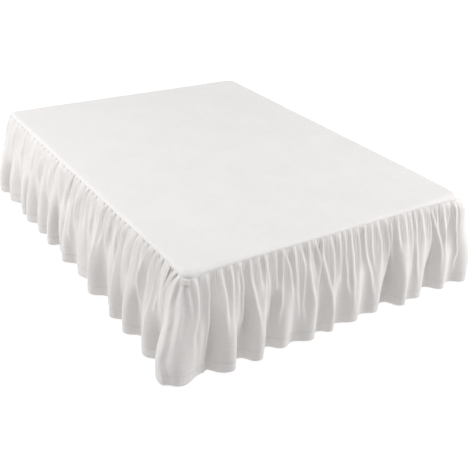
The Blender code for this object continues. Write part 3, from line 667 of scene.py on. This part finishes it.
def sheet_mesh(name, points, uv, closed=False):
    """A smooth mesh over a grid of points, with its cloth map in metres."""
    count, rows = points.shape[:2]
    index = np.arange(count * rows).reshape(count, rows)
    after = np.roll(index, -1, 0) if closed else index[1:]
    index = index if closed else index[:-1]
    quads = np.stack([index[:, :-1], after[:, :-1], after[:, 1:], index[:, 1:]], -1)
    mesh = bpy.data.meshes.new(name)
    mesh.from_pydata(points.reshape(-1, 3).tolist(), [], quads.reshape(-1, 4).tolist())
    layer = mesh.uv_layers.new(name="cloth")
    layer.data.foreach_set("uv", uv.reshape(-1, 2)[quads.reshape(-1)].astype(np.float32).ravel())
    mesh.shade_smooth()
    mesh.update()
    return mesh


def add_piece(name, mesh, material):
    """Links a piece that rides on the one body, with its finish and material slot."""
    piece = link(name, mesh)
    mesh.materials.clear()
    mesh.materials.append(material)
    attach(piece, "root")
    return piece


# ---- Pieces ----
def turn_hem(points):
    """Adds two rows inside the last one: the hem's edge, turned up within the skirt."""
    downward = points[:, -1] - points[:, -2]
    inward = np.stack([-np.gradient(points[:, -1, 1]), np.gradient(points[:, -1, 0])], -1)
    inward /= np.linalg.norm(inward, axis=1)[:, None]
    turned = points[:, -1].copy()
    turned[:, :2] += inward * SHEET
    raised = turned - downward / np.linalg.norm(downward, axis=1)[:, None] * HEM_TURN
    return np.concatenate([points, turned[:, None], raised[:, None]], 1)


def make_ruffle(nodes, material):
    """One gathered sheet round three sides, its hem turned under."""
    folds, length = make_folds()
    points, cloth, levels, shade = ruffle_grid(folds, all_creases(folds))
    drop = np.linalg.norm(points[:, 0] - points[:, -1], axis=1).mean()
    points = turn_hem(points)
    heights = np.concatenate([(1 - levels) * drop, [0.0, HEM_TURN]])
    uv = np.stack(np.broadcast_arrays(cloth[:, None], heights[None, :]), -1)
    mesh = sheet_mesh("ruffle", points, uv)
    # The painted shade of the slits goes to the material as a point attribute.
    painted_shade_layer = mesh.attributes.new("painted_slit_shade", "FLOAT", "POINT")
    painted_shade_layer.data.foreach_set("value", np.pad(shade, ((0, 0), (0, 2))).astype(np.float32).ravel())
    ruffle = add_piece("ruffle", mesh, material)
    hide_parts(*[node for node in nodes if node.startswith("ruffle_")])
    return points


def deck_outline():
    """Plan points round the deck's edge, counter-clockwise from the head's left corner."""
    points = []
    for centre_x, centre_y, facing in (
        (-CORNER_X, CORNER_Y, 90),
        (-CORNER_X, -CORNER_Y, 180),
        (CORNER_X, -CORNER_Y, 270),
        (CORNER_X, CORNER_Y, 0),
    ):
        for turn in np.radians(facing + 90 * np.linspace(0, 1, DECK_CORNER_STEPS + 1)):
            points.append((centre_x, centre_y, math.cos(turn), math.sin(turn)))
        turn = math.radians(facing + 90)
        length = 2 * (CORNER_Y if facing in (90, 270) else CORNER_X)
        for past in np.arange(DECK_STEP, length - DECK_STEP / 2, DECK_STEP):
            x = centre_x - math.sin(turn) * past
            y = centre_y + math.cos(turn) * past
            points.append((x, y, math.cos(turn), math.sin(turn)))
    return np.array(points)


def deck_height(x, y, inward):
    """Height of the panel's nearly flat middle, level with its edge where it begins."""
    across, start, along = DECK_WAVE
    wave = np.sin(across * x + start) * np.sin(along * y)
    share, along, across = DECK_RIPPLE
    wave = wave + share * np.sin(along * y + across * x)
    return DECK_TOP + DECK_UNEVEN * (wave - DECK_SAG) * min(1.0, inward * DECK_LEVELLING)


def make_deck(material):
    """The flat panel: its edge rolls over the box spring and turns down to the seam."""
    centre_x, centre_y, nx, ny = deck_outline().T
    x, y = centre_x + nx * DECK_CORNER, centre_y + ny * DECK_CORNER + CENTRE_Y
    around = np.concatenate([[0], np.cumsum(np.hypot(np.diff(x), np.diff(y)))])
    short, long = (np.sin(around / pace) for pace in SCALLOP_PACES)
    drop = rim_drop(x, y) + SEAM_SCALLOP * short * long
    under = np.stack([x - nx * SHEET, y - ny * SHEET, DECK_TOP - drop], -1)
    rings = [under, np.stack([x, y, DECK_TOP - drop], -1)]
    to_corner = np.hypot(np.abs(x) - DECK_WIDTH / 2, np.abs(y - CENTRE_Y) - DECK_LENGTH / 2)
    roll = DECK_ROLL + CORNER_ROLL * bell(to_corner / CORNER_ROLL_SPREAD)
    edge = drop - SHEET / 2
    for angle in np.linspace(0, math.pi / 2, DECK_EDGE_STEPS + 1):
        inset = roll * (1 - math.cos(angle))
        height = DECK_TOP - edge * (1 - math.sin(angle))
        rings.append(np.stack([x - nx * inset, y - ny * inset, height], -1))
    rim_x, rim_y = rings[-1][:, 0], rings[-1][:, 1] - CENTRE_Y
    for share in DECK_RINGS:
        flat_x = rim_x * (1 - share)
        flat_y = rim_y * (1 - share * DECK_WIDTH / DECK_LENGTH)
        height = deck_height(flat_x, flat_y, share)
        rings.append(np.stack([flat_x, flat_y + CENTRE_Y, height], -1))
    points = np.stack(rings, 1)
    uv = points[:, :, :2].copy()
    for ring, past in enumerate(EDGE_CLOTH):
        uv[:, ring] += np.stack([nx, ny], -1) * past
    deck = add_piece("deck", sheet_mesh("deck", points, uv, True), material)
    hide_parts("deck_panel")


def make_corner_tab(points, material):
    """The small stitched tab over the gathers at the near left corner."""
    middle = LEFT_CORNER_START + CORNER_ARC / 2
    top = DECK_TOP - RIM_DROPS[0][1]
    centre_x, centre_y = -CORNER_X, CENTRE_Y - CORNER_Y
    reach = np.hypot(points[..., 0] - centre_x, points[..., 1] - centre_y) - SEAM_CORNER
    turn = np.arctan2(points[..., 1] - centre_y, points[..., 0] - centre_x)
    across = np.abs((turn - math.radians(-135)) * SEAM_CORNER)
    under = (across < TAB_WIDTH / 2) & (points[..., 2] > top - 2 * TAB_HEIGHT)
    spread, fall = np.linspace(-1, 1, TAB_COLUMNS), np.linspace(0, 1, TAB_ROWS)
    heights = top - fall * TAB_HEIGHT
    out = np.array([
        np.percentile(reach[under & (np.abs(points[..., 2] - z) < TAB_BAND)], TAB_TAUT)
        for z in heights
    ])
    round_off = np.abs(spread[:, None]) ** TAB_SQUARENESS
    round_off = round_off + np.abs(2 * fall[None, :] - 1) ** TAB_SQUARENESS
    out = out[None, :] + TAB_THICKNESS * (1 - 2 * np.clip(round_off, 0, 1))
    along = middle + spread[:, None] * TAB_WIDTH / 2 + 0 * out
    x, y, _, _ = seam_plan(along.ravel(), out.ravel())
    tab = np.stack([x.reshape(out.shape), y.reshape(out.shape), heights + 0 * out], -1)
    uv = np.stack([along - middle, (0.5 - fall[None, :]) * TAB_HEIGHT + 0 * out], -1)
    add_piece("corner_tab", sheet_mesh("corner_tab", tab, uv), material)


# ---- Materials ----
class Nodes:
    """Short ways to add and join shader nodes in one material."""

    def __init__(self, name, colour, roughness):
        self.material = bpy.data.materials.new(name)
        self.material.use_nodes = True
        self.tree = self.material.node_tree
        self.shader = self.tree.nodes["Principled BSDF"]
        self.shader.inputs["Base Color"].default_value = (*colour, 1.0)
        self.shader.inputs["Roughness"].default_value = roughness

    def add(self, kind, inputs=(), **settings):
        node = self.tree.nodes.new(kind)
        for key, value in settings.items():
            setattr(node, key, value)
        for key, value in dict(inputs).items():
            if isinstance(value, bpy.types.NodeSocket):
                self.tree.links.new(value, node.inputs[key])
            else:
                node.inputs[key].default_value = value
        return node

    def math(self, operation, first, second=0.0, clamp=False):
        values = {0: first, 1: second}
        return self.add("ShaderNodeMath", values, operation=operation, use_clamp=clamp).outputs[0]

    def noise(self, vector, scale, detail=2.0):
        """Soft noise with so many waves a metre along each axis."""
        place = self.add("ShaderNodeMapping", {"Vector": vector, "Scale": scale}).outputs[0]
        inputs = {"Vector": place, "Scale": 1.0, "Detail": detail}
        return self.add("ShaderNodeTexNoise", inputs).outputs[0]

    def wave(self, value, pitch):
        """A sine that repeats every `pitch` metres."""
        return self.math("SINE", self.math("MULTIPLY", value, 2 * math.pi / pitch))

    def ramp(self, value, span, dark, light):
        """A colour between two as the value goes through the span."""
        node = self.add("ShaderNodeValToRGB", {0: value})
        for element, place, colour in zip(node.color_ramp.elements, span, (dark, light)):
            element.position, element.color = place, (*colour, 1.0)
        return node.outputs[0]

    def mix(self, share, first, second, blend_type="MIX"):
        """The first colour turned into the second by the share; either may be a socket."""
        node = self.add("ShaderNodeMix", {0: share}, data_type="RGBA", blend_type=blend_type)
        for socket, value in ((node.inputs[6], first), (node.inputs[7], second)):
            if isinstance(value, bpy.types.NodeSocket):
                self.tree.links.new(value, socket)
            else:
                socket.default_value = (*value, 1.0)
        return node.outputs[2]

    def colour(self, socket):
        self.tree.links.new(socket, self.shader.inputs["Base Color"])

    def roughness(self, value, low, high):
        inputs = {"Value": value, "To Min": low, "To Max": high}
        spread = self.add("ShaderNodeMapRange", inputs).outputs[0]
        self.tree.links.new(spread, self.shader.inputs["Roughness"])

    def bump(self, height, depth):
        """Adds relief `depth` metres deep, on top of any already there."""
        inputs = {"Height": height, "Distance": depth, "Strength": 1.0}
        earlier = self.shader.inputs["Normal"]
        if earlier.is_linked:
            inputs["Normal"] = earlier.links[0].from_socket
        node = self.add("ShaderNodeBump", inputs)
        self.tree.links.new(node.outputs[0], earlier)


def stitches(nodes, across, up, centre, width, pitch, least):
    """A dashed row of thread at one height of the cloth, 1 on the thread and 0 beside it."""
    away = nodes.math("ABSOLUTE", nodes.math("SUBTRACT", up, centre))
    row = nodes.math("SUBTRACT", 1.0, nodes.math("DIVIDE", away, width), clamp=True)
    dash = nodes.math("GREATER_THAN", nodes.wave(across, pitch), least)
    return nodes.math("MULTIPLY", row, dash)


def ruffle_finish(nodes, cloth, across, up, colour):
    """Adds the hem's band and stitches, the shade painted into the slits, the fine pleats and the
    crumple.
    """
    in_band = nodes.math("LESS_THAN", up, HEM_BAND)
    below = nodes.math("SUBTRACT", HEM_BAND, up)
    nodes.bump(nodes.math("DIVIDE", below, HEM_STEP, clamp=True), HEM_STEP_DEPTH)
    puckers = nodes.noise(cloth, HEM_PUCKERS)
    nodes.bump(nodes.math("MULTIPLY", puckers, in_band), HEM_PUCKER_DEPTH)
    stitch = stitches(nodes, across, up, HEM_BAND - STITCH_UP, *HEM_STITCH)
    nodes.bump(stitch, -STITCH_DEPTH)
    colour = nodes.mix(nodes.math("MULTIPLY", stitch, STITCH_SHADE), colour, THREAD_SHADE)
    # Painted shade: the cloth's colour darkened in the slits between gathers.
    painted_slit_shade = nodes.add("ShaderNodeAttribute", attribute_name="painted_slit_shade").outputs["Fac"]
    colour = nodes.mix(painted_slit_shade, colour, SLIT_SHADE_AND_STITCH_DARK)
    pleats = nodes.noise(cloth, PLEATS, PLEAT_DETAIL)
    upper = nodes.math("SUBTRACT", up, PLEAT_START)
    upper = nodes.math("DIVIDE", upper, PLEAT_RISE, clamp=True)
    nodes.bump(nodes.math("MULTIPLY", pleats, upper), PLEAT_DEPTH)
    nodes.bump(nodes.noise(cloth, CRUMPLE, CRUMPLE_DETAIL), CRUMPLE_DEPTH)
    return colour


def deck_finish(nodes, cloth, across, up, colour):
    """Adds the puckers of the deck's rolled edge."""
    past_side = nodes.math("ABSOLUTE", across)
    past_side = nodes.math("SUBTRACT", past_side, DECK_WIDTH / 2 - DECK_ROLL)
    past_end = nodes.math("ABSOLUTE", nodes.math("SUBTRACT", up, CENTRE_Y))
    past_end = nodes.math("SUBTRACT", past_end, DECK_LENGTH / 2 - DECK_ROLL)
    past = nodes.math("MAXIMUM", past_side, past_end)
    near_edge = nodes.math("DIVIDE", past, DECK_ROLL, clamp=True)
    puckers = nodes.noise(cloth, EDGE_PUCKERS, EDGE_DETAIL)
    nodes.bump(nodes.math("MULTIPLY", puckers, near_edge), EDGE_PUCKER_DEPTH)
    return colour


def tab_finish(nodes, cloth, across, up, colour):
    """Adds the two stitched rows across the tab."""
    up = nodes.math("ABSOLUTE", up)
    rows = stitches(nodes, across, up, TAB_HEIGHT * TAB_STITCH_UP, *TAB_STITCH)
    nodes.bump(rows, -TAB_STITCH_DEPTH)
    return nodes.mix(nodes.math("MULTIPLY", rows, TAB_STITCH_SHADE), colour, SLIT_SHADE_AND_STITCH_DARK)


def linen_material(name, linen, finish):
    """Off-white plain-weave linen: threads with slubs and faint mottling, then its finish."""
    light, dark = linen
    nodes = Nodes(name, light, LINEN_ROUGHNESS)
    nodes.shader.inputs["Sheen Weight"].default_value = LINEN_SHEEN
    nodes.shader.inputs["Sheen Roughness"].default_value = LINEN_SHEEN_ROUGHNESS
    nodes.shader.inputs["Specular IOR Level"].default_value = LINEN_SPECULAR
    cloth = nodes.add("ShaderNodeUVMap", uv_map="cloth").outputs[0]
    split = nodes.add("ShaderNodeSeparateXYZ", {0: cloth})
    across, up = split.outputs[0], split.outputs[1]
    weft = nodes.noise(cloth, WEFT_WAVES, THREAD_DETAIL)
    warp = nodes.noise(cloth, WARP_WAVES, THREAD_DETAIL)
    cloudy = nodes.noise(cloth, CLOUD_WAVES, THREAD_DETAIL)
    inputs = {0: weft, 1: WEFT_SHARE, 2: nodes.math("MULTIPLY", warp, WARP_SHARE)}
    threads = nodes.add("ShaderNodeMath", inputs, operation="MULTIPLY_ADD").outputs[0]
    base = nodes.ramp(cloudy, MOTTLE_SPAN, dark, light)
    thread_colour = nodes.ramp(threads, THREAD_SPAN, THREAD_DARK, WHITE)
    colour = nodes.mix(1.0, base, thread_colour, "MULTIPLY")
    nodes.roughness(threads, *LINEN_ROUGHNESSES)
    nodes.bump(threads, THREAD_DEPTH)
    weave = [nodes.wave(direction, THREAD_PITCH) for direction in (across, up)]
    nodes.bump(nodes.math("MULTIPLY", *weave), WEAVE_DEPTH)
    nodes.colour(finish(nodes, cloth, across, up, colour))
    return nodes.material


def ticking_material():
    """Grey-cream woven ticking of the box spring, with faint stripes and a nap."""
    nodes = Nodes("ticking", (0.62, 0.61, 0.58), 0.9)
    place = nodes.add("ShaderNodeTexCoord").outputs["Object"]
    split = nodes.add("ShaderNodeSeparateXYZ", {0: place})
    stripe = nodes.wave(nodes.math("ADD", split.outputs[0], split.outputs[1]), STRIPE_PITCH)
    nap = nodes.noise(place, NAP, NAP_DETAIL)
    base = nodes.ramp(nap, MOTTLE_SPAN, *TICKING)
    share = nodes.math("MULTIPLY", nodes.math("GREATER_THAN", stripe, STRIPE_EDGE), STRIPE_SHARE)
    nodes.colour(nodes.mix(share, base, TICKING_STRIPE))
    nodes.roughness(nap, 0.8, 0.95)
    nodes.bump(nap, NAP_DEPTH)
    return nodes.material


def wood_material():
    """Dark stained wood: grain along the leg, pores and a soft satin finish."""
    nodes = Nodes("dark_wood", (0.09, 0.06, 0.04), 0.5)
    place = nodes.add("ShaderNodeTexCoord").outputs["Object"]
    grain = nodes.noise(place, GRAIN, GRAIN_DETAIL)
    pores = nodes.noise(place, PORES)
    nodes.colour(nodes.ramp(grain, MOTTLE_SPAN, *WOOD))
    nodes.roughness(grain, 0.38, 0.6)
    nodes.bump(pores, PORE_DEPTH)
    return nodes.material


def floor_material():
    """A white sweep, partly lit from within so that shadows on it stay faint."""
    nodes = Nodes("pale_floor", (FLOOR, FLOOR, FLOOR), 0.9)
    nodes.shader.inputs["Emission Color"].default_value = (*WHITE, 1.0)
    nodes.shader.inputs["Emission Strength"].default_value = FLOOR_GLOW
    return nodes.material


# ---- Camera, light and floor ----
def make_camera():
    """The photo's camera, its upright turned a little about the line of sight."""
    yaw, pitch, roll = (math.radians(a) for a in (CAMERA_YAW, CAMERA_PITCH, CAMERA_ROLL))
    ahead = math.cos(pitch)
    forward = Vector((math.sin(yaw) * ahead, math.cos(yaw) * ahead, -math.sin(pitch)))
    level = Vector((math.cos(yaw), -math.sin(yaw), 0.0))
    up = level.cross(forward)
    right = level * math.cos(roll) + up * math.sin(roll)
    over = up * math.cos(roll) - level * math.sin(roll)
    data = bpy.data.cameras.new("camera")
    data.sensor_width, data.lens = SENSOR, PHOTO_FOCAL / PHOTO_WIDTH * SENSOR
    data.clip_end = CAMERA_REACH
    camera = link("camera", data)
    turn = Matrix((right, over, -forward)).transposed()
    camera.matrix_world = Matrix.Translation(CAMERA_PLACE) @ turn.to_4x4()
    bpy.context.scene.camera = camera


def make_stage():
    """The floor: one large square under the bed."""
    corners = [(FLOOR_HALF * x, FLOOR_HALF * y, 0) for x, y in ((-1, -1), (1, -1), (1, 1), (-1, 1))]
    mesh = bpy.data.meshes.new("floor")
    mesh.from_pydata(corners, [], [(0, 1, 2, 3)])
    floor = link("floor", mesh)
    mesh.materials.append(floor_material())


def area_light(name, place, target, size, power):
    """A square softbox aimed at its target."""
    data = bpy.data.lights.new(name, "AREA")
    data.shape, data.size, data.energy = "SQUARE", size, power
    light = link(name, data)
    light.location = place
    aim = Vector(target) - Vector(place)
    light.rotation_euler = aim.to_track_quat("-Z", "Y").to_euler()


def make_light():
    """The world, white up to a low horizon and nearly dark above, then the lights."""
    world = bpy.data.worlds.new("studio")
    bpy.context.scene.world = world
    world.use_nodes = True
    tree = world.node_tree
    height = tree.nodes.new("ShaderNodeSeparateXYZ")
    fade = tree.nodes.new("ShaderNodeValToRGB")
    fade.color_ramp.interpolation = "EASE"
    for element, place, grey in zip(fade.color_ramp.elements, COVE_RISE, (1.0, WORLD_FILL)):
        element.position, element.color = place, (grey, grey, grey, 1.0)
    tree.links.new(tree.nodes.new("ShaderNodeTexCoord").outputs["Generated"], height.inputs[0])
    tree.links.new(height.outputs["Z"], fade.inputs[0])
    tree.links.new(fade.outputs[0], tree.nodes["Background"].inputs["Color"])
    for name, place, target, size, power in SOFTBOXES:
        area_light(name, place, target, size, power)
    data = bpy.data.lights.new("overhead", "SUN")
    data.energy, data.angle = OVERHEAD, math.radians(OVERHEAD_SPREAD)
    link("overhead", data).location = (0.0, 0.0, OVERHEAD_HEIGHT)
    bpy.context.scene.view_settings.view_transform = "Standard"


def main():
    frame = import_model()
    make_camera()
    make_deck(linen_material("linen_deck", DECK_LINEN, deck_finish))
    ruffle_linen = linen_material("linen_ruffle", RUFFLE_LINEN, ruffle_finish)
    points = make_ruffle(frame["nodes"], ruffle_linen)
    make_corner_tab(points, linen_material("linen_tab", RUFFLE_LINEN, tab_finish))
    ticking, wood = ticking_material(), wood_material()
    for name, node in frame["nodes"].items():
        if name == "box_spring" or name.startswith("leg_"):
            node.data.materials.clear()
            node.data.materials.append(ticking if name == "box_spring" else wood)
    make_stage()
    make_light()


main()
